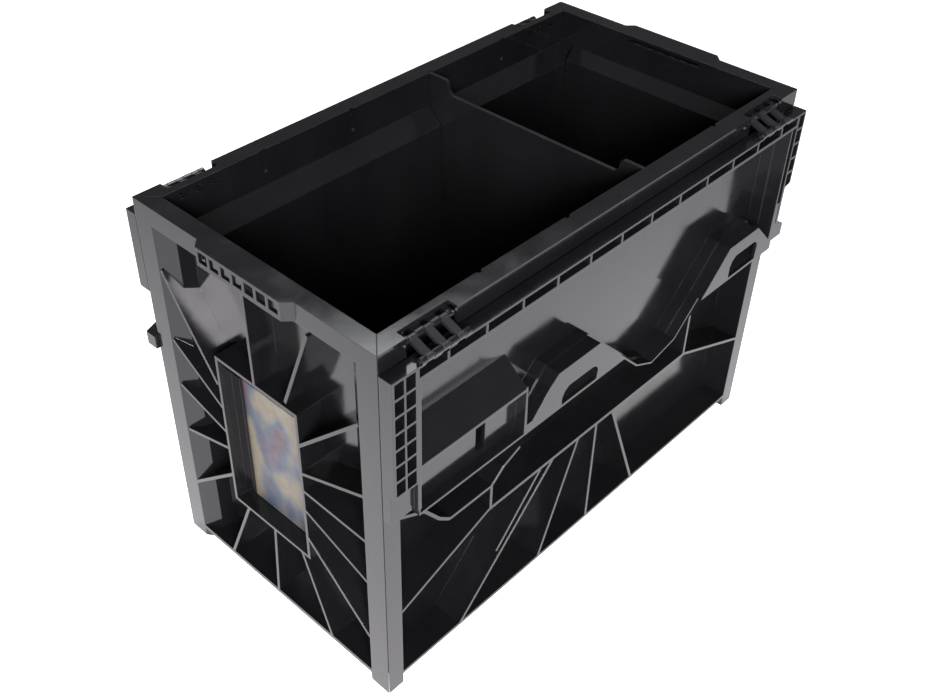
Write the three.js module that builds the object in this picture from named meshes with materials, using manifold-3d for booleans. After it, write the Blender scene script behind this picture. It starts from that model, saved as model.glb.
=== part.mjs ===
// Attached-lid tote: a knock-down ribbed box with two interleaving lids on link hinges.
// Units are millimetres, +Z is up, the origin is under the middle of the box on the floor.
import * as THREE from 'three';
import Module from 'manifold-3d';
import { mergeVertices } from 'three/addons/utils/BufferGeometryUtils.js';

const wasm = await Module();
wasm.setup();

// Driving dimensions. Shapes are drawn from the near left foot and moved to the middle at the end.
const LENGTH = 443;
const WIDTH = 233;
const HEIGHT = 318;
const WALL = 2.5;
const GAP = 0.3;
const POST_X = 14.5;
const POST_Y = 18;
const SIDE_DEPTH = 25;
const END_DEPTH = 20;
const RIM_Y = 14.5;
const RIM_X = 13.5;
const RIM_DROP = 14;
const SEAT_Z = 290;
const SIDE_SLOPE = 13;
const END_SLOPE = 10;
const FLOOR_Z = 22;
const LEDGE_Z = 10;
const MID_Z = 114;
const MID_X0 = 102;
const MID_X1 = 341;
const GRIP_Y0 = 76;
const GRIP_Y1 = 157;
const GRIP_OUT = 6;
const GROOVES = [98.5, 182.5, 266.5, 350.5];
const DIVIDER_X = GROOVES[2];
const DIVIDER_T = 3;

// Link hinges: the box pin, the lid pin at rest, and the straps along X.
const HINGES = [43.5, 399.5];
const STRAP_PITCH = 13;
const STRAP_W = 5.6;
const STRAP_T = 2.6;
const EYE_R = 2.6;
const PIN_R = 1.2;
const BOX_PIN = [4.1, 311.5];
const LID_PIN = [-10, 306];
const HINGE_HALF = 20.5;

// Lid, drawn hanging outside the front wall; its underside looks to -Y.
const LID_TOP = 304;
const LID_FREE = 181.2;
const LID_FACE = -11;
const FLANGE_BACK = -0.5;
const PANEL_Y = 10;
const FLANGE_L = 22;
const FLANGE_R = 427.5;
const HINGE_BAND = 293;
const ROOF_Z = 271;
const POCKET_Z = 224;
const POCKET_BACK_Z = 241;
const POCKET_Y = -3;
const OVERLAP_Y = -7.7;

// Card pocket on each end.
const POCKET = { y0: 78, y1: 163, z0: 83, z1: 223, back: 14 };
const CARD = { y0: 87.5, y1: 153.5, z0: 86.5, z1: 200, x: 12.2, t: 1 };

const BLACK = { color: 0x1d1f20, roughness: 0.38, metalness: 0 };
const LIGHT = { color: 0x2b2d2e, roughness: 0.34, metalness: 0 };
const STEEL = { color: 0x3a3c3e, roughness: 0.4, metalness: 0 };
const PAPER = { color: 0xd9d4c6, roughness: 0.6, metalness: 0 };

const group = new THREE.Group();
group.name = 'attached_lid_tote';

// A closed solid from a three.js geometry.
function solid(geometry) {
  geometry.deleteAttribute('normal');
  geometry.deleteAttribute('uv');
  const merged = mergeVertices(geometry, 1e-4);
  const vertProperties = new Float32Array(merged.attributes.position.array);
  const triVerts = new Uint32Array(merged.index.array);
  const mesh = new wasm.Mesh({ numProp: 3, vertProperties, triVerts });
  return new wasm.Manifold(mesh);
}

function box(x0, x1, y0, y1, z0, z1) {
  const geometry = new THREE.BoxGeometry(x1 - x0, y1 - y0, z1 - z0);
  geometry.translate((x0 + x1) / 2, (y0 + y1) / 2, (z0 + z1) / 2);
  return solid(geometry);
}

function outline(points) {
  return new THREE.Shape(points.map((p) => new THREE.Vector2(p[0], p[1])));
}

// Plates: an outline in one plane, pushed along the axis across it.
function plateXZ(points, y0, y1) {
  const options = { depth: y1 - y0, bevelEnabled: false };
  const geometry = new THREE.ExtrudeGeometry(outline(points), options);
  geometry.rotateX(Math.PI / 2);
  geometry.translate(0, y1, 0);
  return solid(geometry);
}

function plateYZ(points, x0, x1) {
  const options = { depth: x1 - x0, bevelEnabled: false };
  const geometry = new THREE.ExtrudeGeometry(outline(points), options);
  const turn = new THREE.Matrix4();
  turn.set(0, 0, 1, x0, 1, 0, 0, 0, 0, 1, 0, 0, 0, 0, 0, 1);
  geometry.applyMatrix4(turn);
  return solid(geometry);
}

function plateXY(points, z0, z1) {
  const options = { depth: z1 - z0, bevelEnabled: false };
  const geometry = new THREE.ExtrudeGeometry(outline(points), options);
  geometry.translate(0, 0, z0);
  return solid(geometry);
}

// A round bar along X.
function rod(y, z, radius, x0, x1, sides = 12) {
  const geometry = new THREE.CylinderGeometry(radius, radius, x1 - x0, sides);
  geometry.rotateZ(Math.PI / 2);
  geometry.translate((x0 + x1) / 2, y, z);
  return solid(geometry);
}

function join(parts) {
  return parts.reduce((sum, part) => sum.add(part));
}

function cut(body, parts) {
  return parts.reduce((rest, part) => rest.subtract(part), body);
}

// The outline of a straight rib from p to q.
function bar(p, q, thick = WALL) {
  const dx = q[0] - p[0];
  const dy = q[1] - p[1];
  const scale = thick / 2 / Math.hypot(dx, dy);
  const nx = -dy * scale;
  const ny = dx * scale;
  return [
    [p[0] + nx, p[1] + ny],
    [p[0] - nx, p[1] - ny],
    [q[0] - nx, q[1] - ny],
    [q[0] + nx, q[1] + ny],
  ];
}

// The same outline drawn smaller all round by d (corners counter-clockwise).
function inset(points, d) {
  const count = points.length;
  return points.map((p, i) => {
    const a = points[(i + count - 1) % count];
    const b = points[(i + 1) % count];
    const u = new THREE.Vector2(p[0] - a[0], p[1] - a[1]).normalize();
    const v = new THREE.Vector2(b[0] - p[0], b[1] - p[1]).normalize();
    const scale = d / (1 + u.dot(v));
    return [p[0] - (u.y + v.y) * scale, p[1] + (u.x + v.x) * scale];
  });
}

// Move a finished solid to the middle, half-turn it for the far side, and add it as a node.
function node(name, body, look, halfTurn = false) {
  const data = body.getMesh();
  const geometry = new THREE.BufferGeometry();
  const position = new THREE.BufferAttribute(new Float32Array(data.vertProperties), 3);
  geometry.setAttribute('position', position);
  geometry.setIndex(new THREE.BufferAttribute(new Uint32Array(data.triVerts), 1));
  geometry.translate(-LENGTH / 2, -WIDTH / 2, 0);
  if (halfTurn) {
    geometry.rotateZ(Math.PI);
  }
  geometry.computeVertexNormals();
  const mesh = new THREE.Mesh(geometry, new THREE.MeshStandardMaterial(look));
  mesh.name = name;
  group.add(mesh);
}

// Centres of the three straps of one hinge.
function strapCentres(hinge) {
  return [hinge - STRAP_PITCH, hinge, hinge + STRAP_PITCH];
}

// Knuckles sit outside and between the straps.
function knuckleSpans(hinge) {
  const half = STRAP_W / 2 + 0.4;
  const [a, b, c] = strapCentres(hinge);
  return [
    [hinge - HINGE_HALF, a - half],
    [a + half, b - half],
    [b + half, c - half],
    [c + half, hinge + HINGE_HALF],
  ];
}

// Section of a long wall: skirt-height wall, shoulder, upper wall, rim top and rim edge.
function sideSection() {
  const y = SIDE_DEPTH;
  const top = HEIGHT;
  return plateYZ([
    [y, LEDGE_Z], [y + WALL, LEDGE_Z], [y + WALL, SEAT_Z - SIDE_SLOPE],
    [RIM_Y, SEAT_Z], [RIM_Y, top], [0, top], [0, top - RIM_DROP],
    [WALL, top - RIM_DROP], [WALL, top - WALL], [RIM_Y - WALL, top - WALL],
    [RIM_Y - WALL, SEAT_Z - 1], [y, SEAT_Z - SIDE_SLOPE - 1],
  ], 0, LENGTH);
}

// Rib lines on the outside of a long wall, as (x, z) pairs.
function sideRibs() {
  const lines = [
    [[MID_X0, MID_Z + 1.5], [POST_X - 1, 80]],
    [[MID_X1, MID_Z + 1.5], [LENGTH - POST_X + 1, 80]],
    [[MID_X0 + 1.2, MID_Z], [MID_X0 + 1.2, 139]],
    [[MID_X1 - 1.2, MID_Z], [MID_X1 - 1.2, 156]],
    [[MID_X0 + 2, 138], [61, 138]],
    [[61, 138], [51, 146]],
    [[51, 146], [37, 164]],
    [[37, 164], [POST_X - 1, 176]],
    [[MID_X0 + 1.2, 138], [116, 149]],
    [[116, 149], [132, 156]],
    [[158, MID_Z], [112, 62]],
    [[172, MID_Z], [74, LEDGE_Z + 2]],
    [[202, MID_Z], [164, LEDGE_Z + 2]],
    [[224.5, MID_Z], [224.5, LEDGE_Z + 2]],
    [[245, MID_Z], [286, LEDGE_Z + 2]],
  ];
  return join(lines.map((line) => plateXZ(bar(line[0], line[1]), 0, SIDE_DEPTH + 1)));
}

// The corner posts of a long wall, up to the underside of the rim.
function sidePosts() {
  const near = [[0.2, 0], [POST_X, 0], [POST_X, SIDE_DEPTH + WALL], [12, SIDE_DEPTH + WALL], [12, 12.6]];
  const far = near.map((p) => [LENGTH - p[0], p[1]]);
  return plateXY(near, 0, HEIGHT - 1).add(plateXY(far, 0, HEIGHT - 1));
}

// What a long wall keeps: below the shoulder up to the end walls, above it a mitred corner.
function sideLimits(body) {
  const y = SIDE_DEPTH + WALL + 0.1;
  const low = plateXY([[0.2, -1], [LENGTH - 0.2, -1], [LENGTH - 0.2, 0], [LENGTH - 12, 12.6],
    [LENGTH - 12, y], [12, y], [12, 12.6], [0.2, 0]], 0, SEAT_Z);
  const high = plateXY([[0.2, 0], [LENGTH - 0.2, 0], [LENGTH - RIM_X - 0.2, RIM_Y + 0.05],
    [RIM_X + 0.2, RIM_Y + 0.05]], SEAT_Z - 0.01, HEIGHT);
  return body.intersect(low).add(body.intersect(high));
}

// Section that clears the opening: nothing may stand inside the shoulder and upper wall.
function sideInside() {
  const y = SIDE_DEPTH + WALL;
  return plateYZ([
    [-1, -1], [y, -1], [y, SEAT_Z - SIDE_SLOPE], [RIM_Y, SEAT_Z], [RIM_Y, HEIGHT], [-1, HEIGHT],
  ], -1, LENGTH + 1);
}

// Box half of a hinge: the rim set back, a bearing plate and four knuckles.
function hingeSeat(body, hinge) {
  const x0 = hinge - HINGE_HALF - 0.5;
  const x1 = hinge + HINGE_HALF + 0.5;
  const cleared = body.subtract(box(x0, x1, -1, 8, HEIGHT - RIM_DROP - 4, HEIGHT + 1));
  const plate = box(x0 - 1, x1 + 1, 8, 10.5, HEIGHT - RIM_DROP, HEIGHT - 1);
  const knuckles = knuckleSpans(hinge).map(([a, b]) => {
    const arm = box(a, b, BOX_PIN[0], 9, BOX_PIN[1] - EYE_R, BOX_PIN[1] + EYE_R);
    return arm.add(rod(BOX_PIN[0], BOX_PIN[1], EYE_R, a, b));
  });
  const built = join([cleared, plate, ...knuckles]);
  const windows = strapCentres(hinge).map((x) => box(x - 3.5, x + 3.5, 7.9, 15, 309.5, 315));
  const bore = rod(BOX_PIN[0], BOX_PIN[1], PIN_R + 0.3, x0, x1, 8);
  return cut(built, [...windows, bore]);
}

function sidePanel(grooveCentres) {
  const inner = SIDE_DEPTH + WALL;
  const parts = [
    sideSection(),
    sidePosts(),
    box(POST_X - 1, LENGTH - POST_X + 1, 0, inner, LEDGE_Z, LEDGE_Z + 3),
    box(12, LENGTH - 12, 6, 8.5, 0, LEDGE_Z + 1),
    box(MID_X0, MID_X1, 0, inner, MID_Z, MID_Z + 3),
    sideRibs(),
  ];
  let body = sideLimits(join(parts).intersect(sideInside()));
  body = body.add(box(36, LENGTH - 36, inner - 1, inner + 5, FLOOR_Z - 3.3, FLOOR_Z - GAP));
  HINGES.forEach((hinge) => {
    body = hingeSeat(body, hinge);
  });
  const grooves = grooveCentres.map((x) => box(x - 2, x + 2, 12.6, 16, 299.5, HEIGHT + 1));
  return cut(body, grooves);
}

// Section of an end wall.
function endSection() {
  const x = END_DEPTH;
  const top = HEIGHT;
  const points = [
    [x, LEDGE_Z - 2], [x + WALL, LEDGE_Z - 2], [x + WALL, SEAT_Z - END_SLOPE],
    [RIM_X, SEAT_Z], [RIM_X, top], [0, top], [0, top - RIM_DROP - 1],
    [WALL, top - RIM_DROP - 1], [WALL, top - WALL], [RIM_X - WALL, top - WALL],
    [RIM_X - WALL, SEAT_Z - 1], [x, SEAT_Z - END_SLOPE - 1],
  ];
  return plateXZ(points, 0, WIDTH);
}

// Rib lines on the outside of an end wall, as (y, z) pairs; the top pair reaches the rim.
function endRibs() {
  const lines = [
    [[164, 196], [193, 237]],
    [[193, 237], [213, 268]],
    [[121, 223], [122, 303]],
    [[89, 227], [61, 298]],
    [[162, 175], [213, 208]],
    [[162, 152], [213, 166]],
    [[162, 136], [213, 121]],
    [[162, 109], [218, 60]],
    [[80, 194], [19, 254]],
    [[80, 169], [18, 193]],
    [[80, 153], [18, 151]],
    [[79, 134], [18, 110]],
    [[79, 106], [18, 50]],
    [[87, 84], [60, LEDGE_Z]],
    [[117, 84], [122, LEDGE_Z]],
    [[147, 84], [178, LEDGE_Z]],
  ];
  return join(lines.map((line) => plateYZ(bar(line[0], line[1]), 0, END_DEPTH + 1)));
}

// The corner posts of an end wall, wrapped behind the ends of the long walls.
function endPosts() {
  const x = END_DEPTH;
  const near = [[0, 0.2], [11.7, 12.8], [11.7, 27.8], [x + WALL, 27.8], [x + WALL, 36], [x, 36],
    [x, 33], [9, 30.4], [0, POST_Y]];
  const far = near.map((p) => [p[0], WIDTH - p[1]]);
  return plateXY(near, 0, HEIGHT - 1).add(plateXY(far, 0, HEIGHT - 1));
}

function endInside() {
  const x = END_DEPTH + WALL;
  return plateXZ([
    [-9, -1], [x, -1], [x, SEAT_Z - END_SLOPE], [RIM_X, SEAT_Z], [RIM_X, HEIGHT], [-9, HEIGHT],
  ], -1, WIDTH + 1);
}

function endLimits(body) {
  const x = END_DEPTH + WALL + 0.1;
  const y = SIDE_DEPTH + WALL + GAP;
  const low = plateXY([[-9, 0.2], [0, 0.2], [11.7, 12.8], [11.7, y], [x, y], [x, WIDTH - y],
    [11.7, WIDTH - y], [11.7, WIDTH - 12.8], [0, WIDTH - 0.2], [-9, WIDTH - 0.2]], 0, SEAT_Z + GAP);
  const high = plateXY([[-9, 0.2], [0, 0.2], [RIM_X, RIM_Y + 0.25],
    [RIM_X, WIDTH - RIM_Y - 0.25], [0, WIDTH - 0.2], [-9, WIDTH - 0.2]], SEAT_Z + GAP, HEIGHT);
  return body.intersect(low).add(body.intersect(high));
}

// The rim swells out into a hand grip, hollow behind a row of windows.
function gripLip() {
  const out = -GRIP_OUT;
  const y0 = GRIP_Y0;
  const y1 = GRIP_Y1;
  const plan = [[1, y0 - 7], [out, y0], [out, y1], [1, y1 + 7]];
  const hollow = [[1.1, y0 - 4], [out + WALL, y0 + 1], [out + WALL, y1 - 1], [1.1, y1 + 4]];
  const skirt = plateXY(plan, HEIGHT - RIM_DROP, HEIGHT);
  return skirt.subtract(plateXY(hollow, HEIGHT - RIM_DROP - 1, HEIGHT - WALL));
}

function gripWindows() {
  const pitch = (GRIP_Y1 - GRIP_Y0 - 2) / 7;
  const cells = [];
  for (let i = 0; i < 7; i += 1) {
    const y = GRIP_Y0 + 1 + pitch * (i + 0.5);
    cells.push(box(-9, 3, y - pitch / 2 + 1.3, y + pitch / 2 - 1.3, 307.5, HEIGHT - WALL));
  }
  const inside = RIM_X - WALL - 0.1;
  cells.push(box(-1, inside, GRIP_Y0, GRIP_Y1, HEIGHT - RIM_DROP - 1.5, HEIGHT - WALL));
  cells.push(box(3, 15, GRIP_Y0 + 4, GRIP_Y1 - 4, 312, HEIGHT - WALL));
  return cells;
}

// Card pocket: a deep frame with a back plate and two side lips in front of the card.
function cardPocket() {
  const { y0, y1, z0, z1, back } = POCKET;
  const frame = box(0, END_DEPTH + 1, y0, y1, z0, z1);
  const hole = box(-1, back, y0 + WALL, y1 - WALL, z0 + WALL, z1 - WALL);
  const lips = [
    box(9.4, 11.6, y0 + 1, y0 + 11.5, z0 + 1, z1 - 20),
    box(9.4, 11.6, y1 - 11.5, y1 - 1, z0 + 1, z1 - 20),
  ];
  return join([frame.subtract(hole), ...lips]);
}

function endPanel() {
  const x = END_DEPTH + WALL;
  const parts = [
    endSection(),
    endPosts(),
    box(0, x, POST_Y - 1, WIDTH - POST_Y + 1, LEDGE_Z - 2, LEDGE_Z + 2),
    box(5, 7.5, 10, WIDTH - 10, 0, LEDGE_Z),
    endRibs(),
    cardPocket(),
  ];
  let body = endLimits(join(parts).intersect(endInside()));
  body = body.add(box(x - 1, x + 5, 40, WIDTH - 40, FLOOR_Z - 3.3, FLOOR_Z - GAP));
  body = cut(body.add(gripLip()), gripWindows());
  // Shell the block behind the card so that it stays one thin-walled moulding.
  const { y0, y1, z0, z1, back } = POCKET;
  const behind = box(back + WALL, x + 1, y0 + WALL, y1 - WALL, z0 + WALL, z1 - WALL);
  return body.subtract(behind);
}

function floorPanel() {
  const x0 = END_DEPTH + WALL + GAP;
  const y0 = SIDE_DEPTH + WALL + GAP;
  const parts = [box(x0, LENGTH - x0, y0, WIDTH - y0, FLOOR_Z, FLOOR_Z + 3)];
  for (let i = 0; i < 7; i += 1) {
    const x = 50 + i * (LENGTH - 100) / 6;
    parts.push(box(x - 1, x + 1, 38, WIDTH - 38, 8, FLOOR_Z + 1));
  }
  [60, WIDTH / 2, WIDTH - 60].forEach((y) => {
    parts.push(box(36, LENGTH - 36, y - 1, y + 1, 8, FLOOR_Z + 1));
  });
  return join(parts);
}

// Edge between the raised panel and the low plates of each lid, left to right, as (x, z).
const FRONT_EDGE = {
  pocket: 121,
  fin: [[122.5, 181.6], [124.5, 181.6]],
  run: [[148, 208], [156, 214.5], [200, 214.7], [239, 176], [257, 158], [278, 148], [307, 155],
    [335, 182], [365, 213], [404, 213]],
  slots: [[161, 201, 197.5], [369, 408, 202]],
};
const BACK_EDGE = {
  pocket: 104,
  fin: [[105.5, 181.6], [107.2, 181.6]],
  run: [[136.6, 207.6], [165.4, 214.8], [187, 204.6], [205.2, 186.4], [243.6, 148],
    [286.6, 148.2], [294.4, 154.6], [317.4, 181], [350, 213], [404, 213]],
  slots: [[140, 180, 197.5], [366, 405, 202]],
};

function raisedOutline(edge) {
  return [
    [FLANGE_L, HINGE_BAND + WALL], [FLANGE_L, POCKET_Z], [edge.pocket, POCKET_Z],
    ...edge.fin, ...edge.run, [FLANGE_R, 189.5], [FLANGE_R, HINGE_BAND + WALL],
  ];
}

// The outline of the hollow under the raised panel, drawn in from the skirt by t.
function hollowOutline(edge, t) {
  const [tip, foot] = edge.fin;
  const first = edge.run[0];
  const z = 188.5;
  const share = (z - foot[1]) / (first[1] - foot[1]);
  const right = foot[0] + share * (first[0] - foot[0]);
  return inset([
    [FLANGE_L, HINGE_BAND + WALL], [FLANGE_L, POCKET_Z], [edge.pocket, POCKET_Z],
    [tip[0] - 0.3, z], [right, z], ...edge.run, [FLANGE_R, 189.5], [FLANGE_R, HINGE_BAND + WALL],
  ], t);
}

// Everything behind the roof slope that joins the raised panel to the hinge edge.
function roofSide(offset) {
  const y = PANEL_Y + offset;
  return plateYZ([
    [y, ROOF_Z + offset], [FLANGE_BACK - WALL + offset, HINGE_BAND - WALL + offset],
    [FLANGE_BACK - WALL + offset, 310], [30, 310], [30, ROOF_Z + offset],
  ], -1, LENGTH + 1);
}

// The raised panel with its stepped skirt; the tongue that laps over the other lid is cut short.
function lidDome(edge) {
  const block = plateXZ(raisedOutline(edge), LID_FACE, PANEL_Y + WALL).subtract(roofSide(WALL));
  const front = plateXZ(hollowOutline(edge, 1.4), LID_FACE - 1, 0.5);
  const back = plateXZ(hollowOutline(edge, 2.8), 0, PANEL_Y);
  const hollow = front.add(back).subtract(roofSide(0));
  const tongue = box(edge.fin[1][0] + 80, 340, LID_FACE - 1, OVERLAP_Y, 140, LID_FREE + 0.3);
  return cut(block, [hollow, tongue]);
}

// The sloped step from the low pocket up to the raised panel.
function pocketSlope(edge) {
  const section = [
    [LID_FACE, POCKET_Z - WALL], [LID_FACE, POCKET_Z], [0, 232], [PANEL_Y, POCKET_BACK_Z],
    [PANEL_Y + WALL, POCKET_BACK_Z], [PANEL_Y + WALL, POCKET_BACK_Z - WALL],
    [1.5, 229], [LID_FACE + 3, POCKET_Z - WALL],
  ];
  return plateYZ(section, FLANGE_L, edge.pocket + 1);
}

// Low plates along the free edge with the two hand slots.
function lidLowPlates(edge) {
  const rim = raisedOutline(edge);
  const strip = box(edge.pocket, FLANGE_R + 4, LID_FACE, LID_FACE + 2.7, LID_FREE, 226);
  const plates = strip.subtract(plateXZ(inset(rim, 0.8), -20, 20));
  const slots = edge.slots.map(([x0, x1, z]) => plateXZ([
    [x0, 183.6], [x1 - 1, 183.6], [x1, z - 6], [x1 - 2, z - 2], [x1 - 6, z],
    [x0 + 7, z], [x0 + 2.5, z - 3], [x0, z - 8],
  ], LID_FACE - 1, LID_FACE + 4));
  return cut(plates, slots);
}

// The low pocket at the left of a lid: floor, side walls, lip and one through slot.
function lidPocket(edge) {
  const x0 = FLANGE_L - 1;
  const x1 = edge.pocket + 1;
  const tray = box(x0, x1, LID_FACE, POCKET_Y + WALL, LID_FREE, POCKET_Z);
  const room = box(x0 + 1, edge.pocket, LID_FACE - 1, POCKET_Y, LID_FREE + 2, POCKET_Z + 1);
  const slot = box(81, 90, -20, 20, 188, 218);
  return cut(tray, [room, slot]);
}

// Waffle cells sunk in the flanges that lie on the rim.
function flangeCells() {
  const cells = [];
  for (let row = 0; row < 7; row += 1) {
    const z = 211.5 + row * 13.1;
    cells.push(box(2, 9.6, -12, POCKET_Y, z + 1, z + 12.1));
    cells.push(box(11.2, 19, -12, POCKET_Y, z + 1, z + 12.1));
  }
  for (let i = 0; i < 13; i += 1) {
    const x = 46 + 33 * (i - 1);
    const from = Math.max(x + 1, FLANGE_L);
    const to = Math.min(x + 32, 431.5);
    cells.push(box(from, to, -12, POCKET_Y, HINGE_BAND + WALL, LID_TOP - 1.8));
  }
  for (let row = 0; row < 5; row += 1) {
    const z = 239 + row * 12.8;
    cells.push(box(434.5, 441.8, -12, POCKET_Y, z + 1, z + 11.8));
  }
  cells.push(box(FLANGE_R - 3, 432.8, -12, POCKET_Y, 206, HINGE_BAND));
  return cells;
}

function lidFlanges() {
  const left = [[0, 186.5], [FLANGE_L + 1, 186.5], [FLANGE_L + 1, LID_TOP], [0, LID_TOP]];
  const right = [[FLANGE_R - 1, LID_TOP], [FLANGE_R - 1, 189], [445.6, 189], [445.6, 200],
    [435.7, 204], [435.7, 238], [LENGTH, 240], [LENGTH, LID_TOP]];
  const back = box(FLANGE_L, FLANGE_R, LID_FACE, FLANGE_BACK, HINGE_BAND, LID_TOP);
  const ends = plateXZ(left, LID_FACE, FLANGE_BACK).add(plateXZ(right, LID_FACE, FLANGE_BACK));
  const step = box(-1, FLANGE_L - 2, LID_FACE - 1, LID_FACE + 3.5, 186, 211);
  return cut(join([back, ends]), [...flangeCells(), step]);
}

// Lid half of a hinge: knuckles along the top edge, notched clear of the straps.
function lidHinge(body, hinge) {
  const notches = strapCentres(hinge).map((x) => {
    const half = STRAP_W / 2 + 0.4;
    return box(x - half, x + half, -14, -6.9, 301.4, 312);
  });
  const knuckles = knuckleSpans(hinge).map(([a, b]) => {
    const foot = box(a, b, LID_PIN[0] - 1, LID_PIN[0] + EYE_R, LID_TOP - 1, LID_PIN[1]);
    return foot.add(rod(LID_PIN[0], LID_PIN[1], EYE_R, a, b));
  });
  const x0 = hinge - HINGE_HALF - 1;
  const x1 = hinge + HINGE_HALF + 1;
  const bore = rod(LID_PIN[0], LID_PIN[1], PIN_R + 0.3, x0, x1, 8);
  return cut(join([body, ...knuckles]), [...notches, bore]);
}

function lid(edge) {
  const floorOfSlope = box(FLANGE_L + 1.4, edge.pocket, LID_FACE - 1, 14, POCKET_Z - 1, 227.5);
  const behindSlope = box(FLANGE_L + 1.4, edge.pocket, PANEL_Y - 0.1, 14, POCKET_Z - 1, 239);
  let body = cut(lidDome(edge), [floorOfSlope, behindSlope]);
  body = join([body, pocketSlope(edge), lidLowPlates(edge), lidPocket(edge), lidFlanges()]);
  HINGES.forEach((hinge) => {
    body = lidHinge(body, hinge);
  });
  return body;
}

// One hinge strap, with an eye round each pin.
function strap(x) {
  const x0 = x - STRAP_W / 2;
  const x1 = x + STRAP_W / 2;
  const web = plateYZ(bar(BOX_PIN, LID_PIN, STRAP_T), x0, x1);
  const eyes = [BOX_PIN, LID_PIN].map((p) => rod(p[0], p[1], EYE_R - 0.1, x0, x1));
  const bores = [BOX_PIN, LID_PIN].map((p) => rod(p[0], p[1], PIN_R + 0.3, x0 - 1, x1 + 1, 8));
  return cut(join([web, ...eyes]), bores);
}

function hingePin(pin, hinge) {
  return rod(pin[0], pin[1], PIN_R, hinge - HINGE_HALF, hinge + HINGE_HALF, 8);
}

// Divider: a board with a raised ear at each end that drops into a pair of grooves.
function divider() {
  const half = [
    [28.2, FLOOR_Z + 3.4], [28.2, 277.2], [15, 290.4], [15, 300], [13, 300], [13, 317.6],
    [31, 317.6], [33.5, 316], [35, 309], [38, 306.5],
  ];
  const mirrored = half.map((p) => [WIDTH - p[0], p[1]]).reverse();
  const x0 = DIVIDER_X - DIVIDER_T / 2;
  return plateYZ([...half, ...mirrored], x0, x0 + DIVIDER_T);
}

function labelCard() {
  return box(CARD.x, CARD.x + CARD.t, CARD.y0, CARD.y1, CARD.z0, CARD.z1);
}

const SIDES = [['front', false, FRONT_EDGE], ['back', true, BACK_EDGE]];

SIDES.forEach(([side, turn, edge]) => {
  const grooves = GROOVES.map((x) => (turn ? LENGTH - x : x));
  node(`side_panel_${side}`, sidePanel(grooves), BLACK, turn);
  node(`lid_${side}`, lid(edge), BLACK, turn);
  HINGES.forEach((hinge, h) => {
    const place = `${side}_${['left', 'right'][h]}`;
    strapCentres(hinge).forEach((x, i) => {
      node(`hinge_strap_${place}_${i + 1}`, strap(x), LIGHT, turn);
    });
    node(`box_pin_${place}`, hingePin(BOX_PIN, hinge), STEEL, turn);
    node(`lid_pin_${place}`, hingePin(LID_PIN, hinge), STEEL, turn);
  });
});

[['left', false], ['right', true]].forEach(([end, turn]) => {
  node(`end_panel_${end}`, endPanel(), BLACK, turn);
  node(`label_card_${end}`, labelCard(), PAPER, turn);
});

node('floor_panel', floorPanel(), BLACK);
node('divider', divider(), BLACK);

export default group;
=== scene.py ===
"""Attached-lid tote: materials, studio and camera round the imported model."""
import math

import bpy
from mathutils import Matrix, Vector

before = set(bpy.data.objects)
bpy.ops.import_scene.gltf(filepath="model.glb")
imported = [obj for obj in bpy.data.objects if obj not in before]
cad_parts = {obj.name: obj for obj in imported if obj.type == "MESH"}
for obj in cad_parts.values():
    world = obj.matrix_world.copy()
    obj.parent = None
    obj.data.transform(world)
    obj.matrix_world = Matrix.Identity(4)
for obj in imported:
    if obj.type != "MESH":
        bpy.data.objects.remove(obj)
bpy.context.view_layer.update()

# Optics and shading sizes, in metres where they are lengths.
PLASTIC_IOR = 1.49
EDGE_RADIUS = 0.00045
FLOOR_SIZE = 14.0
FLOOR_Z = -0.0005
# How far from the middle of the tote the floor's painted glow (a painted pool of light that the gloss
# mirrors) starts and stops fading, and how bright it is.
FADE_NEAR, FADE_FAR = 0.22, 0.8
PAINTED_GLOW_NEAR, PAINTED_GLOW_FAR = 0.75, 0.06
SEEN_GLOW = 0.55
AIM_HEIGHT = 0.2


# ---------------------------------------------------------------- node helpers
def nodes_of(name):
    material = bpy.data.materials.new(name)
    material.use_nodes = True
    tree = material.node_tree
    tree.nodes.clear()
    out = tree.nodes.new("ShaderNodeOutputMaterial")
    shader = tree.nodes.new("ShaderNodeBsdfPrincipled")
    tree.links.new(shader.outputs["BSDF"], out.inputs["Surface"])
    return material, tree, shader


def noise(tree, scale, detail=4.0, rough=0.55, stretch=(1, 1, 1), seed=0.0):
    """Object-space noise, stretched along an axis where a moulding's flow lines run."""
    where = tree.nodes.new("ShaderNodeTexCoord")
    place = tree.nodes.new("ShaderNodeMapping")
    place.inputs["Scale"].default_value = stretch
    place.inputs["Location"].default_value = (seed, seed * 0.7, seed * 1.3)
    tree.links.new(where.outputs["Object"], place.inputs["Vector"])
    cloud = tree.nodes.new("ShaderNodeTexNoise")
    cloud.inputs["Scale"].default_value = scale
    cloud.inputs["Detail"].default_value = detail
    cloud.inputs["Roughness"].default_value = rough
    tree.links.new(place.outputs["Vector"], cloud.inputs["Vector"])
    return cloud.outputs["Fac"]


def ramp(tree, value, stops):
    """A colour ramp from (position, colour) pairs."""
    node = tree.nodes.new("ShaderNodeValToRGB")
    bands = node.color_ramp.elements
    for index, (at, colour) in enumerate(stops):
        band = bands[index] if index < 2 else bands.new(at)
        band.position = at
        band.color = colour if len(colour) == 4 else (*colour, 1.0)
    tree.links.new(value, node.inputs["Fac"])
    return node.outputs["Color"]


def spread(tree, value, low, high, out_low, out_high):
    node = tree.nodes.new("ShaderNodeMapRange")
    node.inputs["From Min"].default_value = low
    node.inputs["From Max"].default_value = high
    node.inputs["To Min"].default_value = out_low
    node.inputs["To Max"].default_value = out_high
    tree.links.new(value, node.inputs["Value"])
    return node.outputs["Result"]


def mix(tree, share, first, second):
    node = tree.nodes.new("ShaderNodeMix")
    node.data_type = "RGBA"
    wanted = ((node.inputs[0], share), (node.inputs[6], first), (node.inputs[7], second))
    for socket, value in wanted:
        if isinstance(value, bpy.types.NodeSocket):
            tree.links.new(value, socket)
        else:
            socket.default_value = value
    return node.outputs[2]


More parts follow.
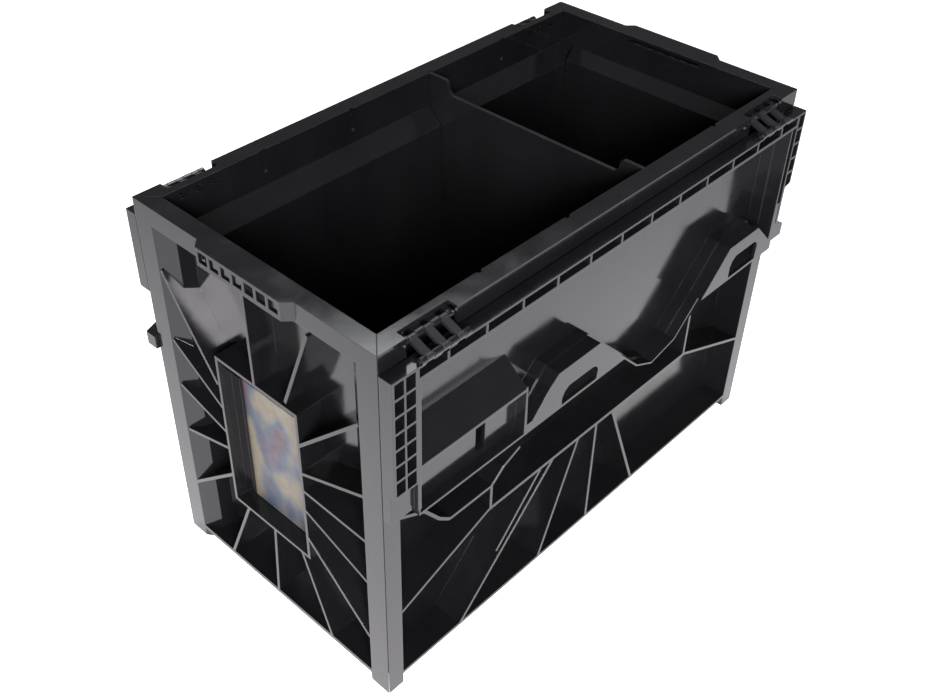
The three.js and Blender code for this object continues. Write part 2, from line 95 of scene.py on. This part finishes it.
def bump(tree, shader, layers, edge=None):
    """Chains bump layers of (height, distance, strength), over a rounded edge if asked."""
    normal = None
    if edge:
        rounded = tree.nodes.new("ShaderNodeBevel")
        rounded.samples = 4
        rounded.inputs["Radius"].default_value = edge
        normal = rounded.outputs["Normal"]
    for height, distance, strength in layers:
        node = tree.nodes.new("ShaderNodeBump")
        node.inputs["Distance"].default_value = distance
        node.inputs["Strength"].default_value = strength
        tree.links.new(height, node.inputs["Height"])
        if normal:
            tree.links.new(normal, node.inputs["Normal"])
        normal = node.outputs["Normal"]
    tree.links.new(normal, shader.inputs["Normal"])


# ---------------------------------------------------------------- materials
def black_plastic(name, dark, light, rough_low, rough_high, edge=EDGE_RADIUS, seed=0.0):
    """Moulded polypropylene: faint flow streaks, blotches of sheen, dust specks and soft edges."""
    material, tree, shader = nodes_of(name)
    flow = noise(tree, 9.0, 5.0, 0.6, (1.0, 1.0, 0.35), seed)
    blotch = noise(tree, 38.0, 6.0, 0.62, seed=seed + 3.1)
    dust = noise(tree, 900.0, 2.0, 0.5, seed=seed + 5.7)
    grain = noise(tree, 2600.0, 2.0, 0.5, seed=seed + 1.9)
    base = ramp(tree, flow, [(0.32, dark), (0.72, light)])
    specks = ramp(tree, dust, [(0.0, (0, 0, 0)), (0.70, (0, 0, 0)), (0.80, (0.055, 0.055, 0.052))])
    add = tree.nodes.new("ShaderNodeMix")
    add.data_type = "RGBA"
    add.blend_type = "ADD"
    add.inputs[0].default_value = 0.5
    tree.links.new(base, add.inputs[6])
    tree.links.new(specks, add.inputs[7])
    tree.links.new(add.outputs[2], shader.inputs["Base Color"])
    gloss = spread(tree, blotch, 0.3, 0.7, rough_low, rough_high)
    tree.links.new(gloss, shader.inputs["Roughness"])
    shader.inputs["IOR"].default_value = PLASTIC_IOR
    layers = [(flow, 0.0006, 0.10), (blotch, 0.00012, 0.20), (grain, 0.00002, 0.25)]
    bump(tree, shader, layers, edge)
    return material


BODY = black_plastic("body_plastic", (0.0035, 0.0036, 0.004), (0.007, 0.0072, 0.0076), 0.07, 0.17)
LID = black_plastic("lid_plastic", (0.004, 0.0041, 0.0045), (0.008, 0.0082, 0.0088),
                    0.07, 0.18, seed=4.0)
STRAP = black_plastic("strap_plastic", (0.008, 0.0082, 0.0086), (0.022, 0.0225, 0.023),
                      0.14, 0.30, seed=8.0)
PIN = black_plastic("pin_plastic", (0.008, 0.008, 0.008), (0.02, 0.02, 0.02), 0.25, 0.4, seed=9.0)
DIVIDER = black_plastic("divider_plastic", (0.004, 0.0042, 0.0044), (0.009, 0.0092, 0.0098),
                        0.12, 0.26, seed=6.0)


def card_stock():
    """Printed card: a cream sheet with soft generic colour patches, paper fibre and a satin face."""
    material, tree, shader = nodes_of("card_stock")
    patches = noise(tree, 26.0, 2.0, 0.4, (1.0, 1.0, 0.7), 2.3)
    fibre = noise(tree, 1400.0, 5.0, 0.6, seed=7.0)
    sheen = noise(tree, 120.0, 3.0, 0.5, seed=1.0)
    printed = ramp(tree, patches, [(0.30, (0.13, 0.12, 0.09)), (0.46, (0.16, 0.14, 0.10)),
                                   (0.56, (0.05, 0.07, 0.10)), (0.70, (0.12, 0.03, 0.02))])
    paper = ramp(tree, fibre, [(0.3, (0.86, 0.86, 0.86)), (0.7, (1.0, 1.0, 1.0))])
    tint = tree.nodes.new("ShaderNodeMix")
    tint.data_type = "RGBA"
    tint.blend_type = "MULTIPLY"
    tint.inputs[0].default_value = 1.0
    tree.links.new(printed, tint.inputs[6])
    tree.links.new(paper, tint.inputs[7])
    tree.links.new(tint.outputs[2], shader.inputs["Base Color"])
    tree.links.new(spread(tree, sheen, 0.3, 0.7, 0.38, 0.58), shader.inputs["Roughness"])
    bump(tree, shader, [(fibre, 0.00005, 0.3)])
    return material


CARD = card_stock()


def dress(node, material):
    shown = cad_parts[node]
    for place in shown.material_slots:
        place.link = "OBJECT"
        place.material = material


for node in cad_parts:
    look = BODY
    if node.startswith("lid_pin") or node.startswith("box_pin"):
        look = PIN
    elif node.startswith("lid_"):
        look = LID
    elif node.startswith("hinge_strap"):
        look = STRAP
    elif node == "divider":
        look = DIVIDER
    elif node.startswith("label_card"):
        look = CARD
    dress(node, look)


# ---------------------------------------------------------------- studio
def floor_material():
    """White to the eye; the floor glows, with a painted pool of light brightest near the tote that
    fades with distance, so what the gloss mirrors of it fades too.
    """
    material, tree, shader = nodes_of("studio_floor")
    shader.inputs["Base Color"].default_value = (0.8, 0.8, 0.8, 1)
    shader.inputs["Roughness"].default_value = 0.7
    where = tree.nodes.new("ShaderNodeTexCoord")
    away = tree.nodes.new("ShaderNodeVectorMath")
    away.operation = "LENGTH"
    tree.links.new(where.outputs["Object"], away.inputs[0])
    # Painted pool of light: the floor's emission is strongest near the tote and fades with distance.
    painted_glow = spread(tree, away.outputs["Value"], FADE_NEAR, FADE_FAR, PAINTED_GLOW_NEAR, PAINTED_GLOW_FAR)
    path = tree.nodes.new("ShaderNodeLightPath")
    seen = spread(tree, path.outputs["Is Camera Ray"], 0.0, 1.0, 0.0, SEEN_GLOW)
    total = tree.nodes.new("ShaderNodeMath")
    total.operation = "ADD"
    tree.links.new(painted_glow, total.inputs[0])
    tree.links.new(seen, total.inputs[1])
    tree.links.new(total.outputs["Value"], shader.inputs["Emission Strength"])
    shader.inputs["Emission Color"].default_value = (1, 1, 1, 1)
    return material


def softbox(name, direction, distance, size, watts, colour=(1, 1, 1)):
    data = bpy.data.lights.new(name, "AREA")
    data.shape = "RECTANGLE"
    data.size, data.size_y = size
    data.energy = watts
    data.color = colour
    lamp = bpy.data.objects.new(name, data)
    bpy.context.scene.collection.objects.link(lamp)
    away = Vector(direction).normalized()
    lamp.location = Vector((0, 0, AIM_HEIGHT)) + away * distance
    lamp.rotation_euler = away.to_track_quat("Z", "Y").to_euler()


def studio():
    """A white table that glows, brightest in a painted pool of light round the tote, a dim room, a
    strong key softbox by the camera and a faint fill overhead.
    """
    bpy.ops.mesh.primitive_plane_add(size=FLOOR_SIZE, location=(0, 0, FLOOR_Z))
    floor = bpy.context.object
    floor.name = "studio_floor"
    floor.data.materials.append(floor_material())
    world = bpy.data.worlds.new("studio_room")
    bpy.context.scene.world = world
    world.use_nodes = True
    back = world.node_tree.nodes["Background"]
    back.inputs["Color"].default_value = (0.93, 0.95, 1.0, 1)
    back.inputs["Strength"].default_value = 0.16
    softbox("softbox_key", (-0.60, -0.66, 0.42), 1.6, (0.6, 0.6), 60, (1.0, 0.95, 1.0))
    softbox("softbox_over", (0.3, 0.4, 0.9), 2.6, (1.6, 1.6), 45, (0.95, 0.97, 1.0))


studio()


# ---------------------------------------------------------------- camera
def camera():
    """The view the tote is shown from: over its near left corner, looking down at about 39 degrees."""
    data = bpy.data.cameras.new("view")
    data.sensor_width = 36.0
    data.lens = 44.65
    data.shift_x = 0.0282
    data.shift_y = -0.0185
    data.clip_end = 50.0
    view = bpy.data.objects.new("view", data)
    bpy.context.scene.collection.objects.link(view)
    right = Vector((0.69411, -0.71984, 0.00612))
    down = Vector((-0.44991, -0.44043, -0.77692))
    ahead = Vector((0.56195, 0.53652, -0.62957))
    turn = Matrix((right, -down, -ahead)).transposed()
    view.matrix_world = Matrix.Translation(Vector((-0.54784, -0.47585, 0.72776))) @ turn.to_4x4()
    bpy.context.scene.camera = view


camera()
bpy.context.scene.view_settings.view_transform = "Standard"
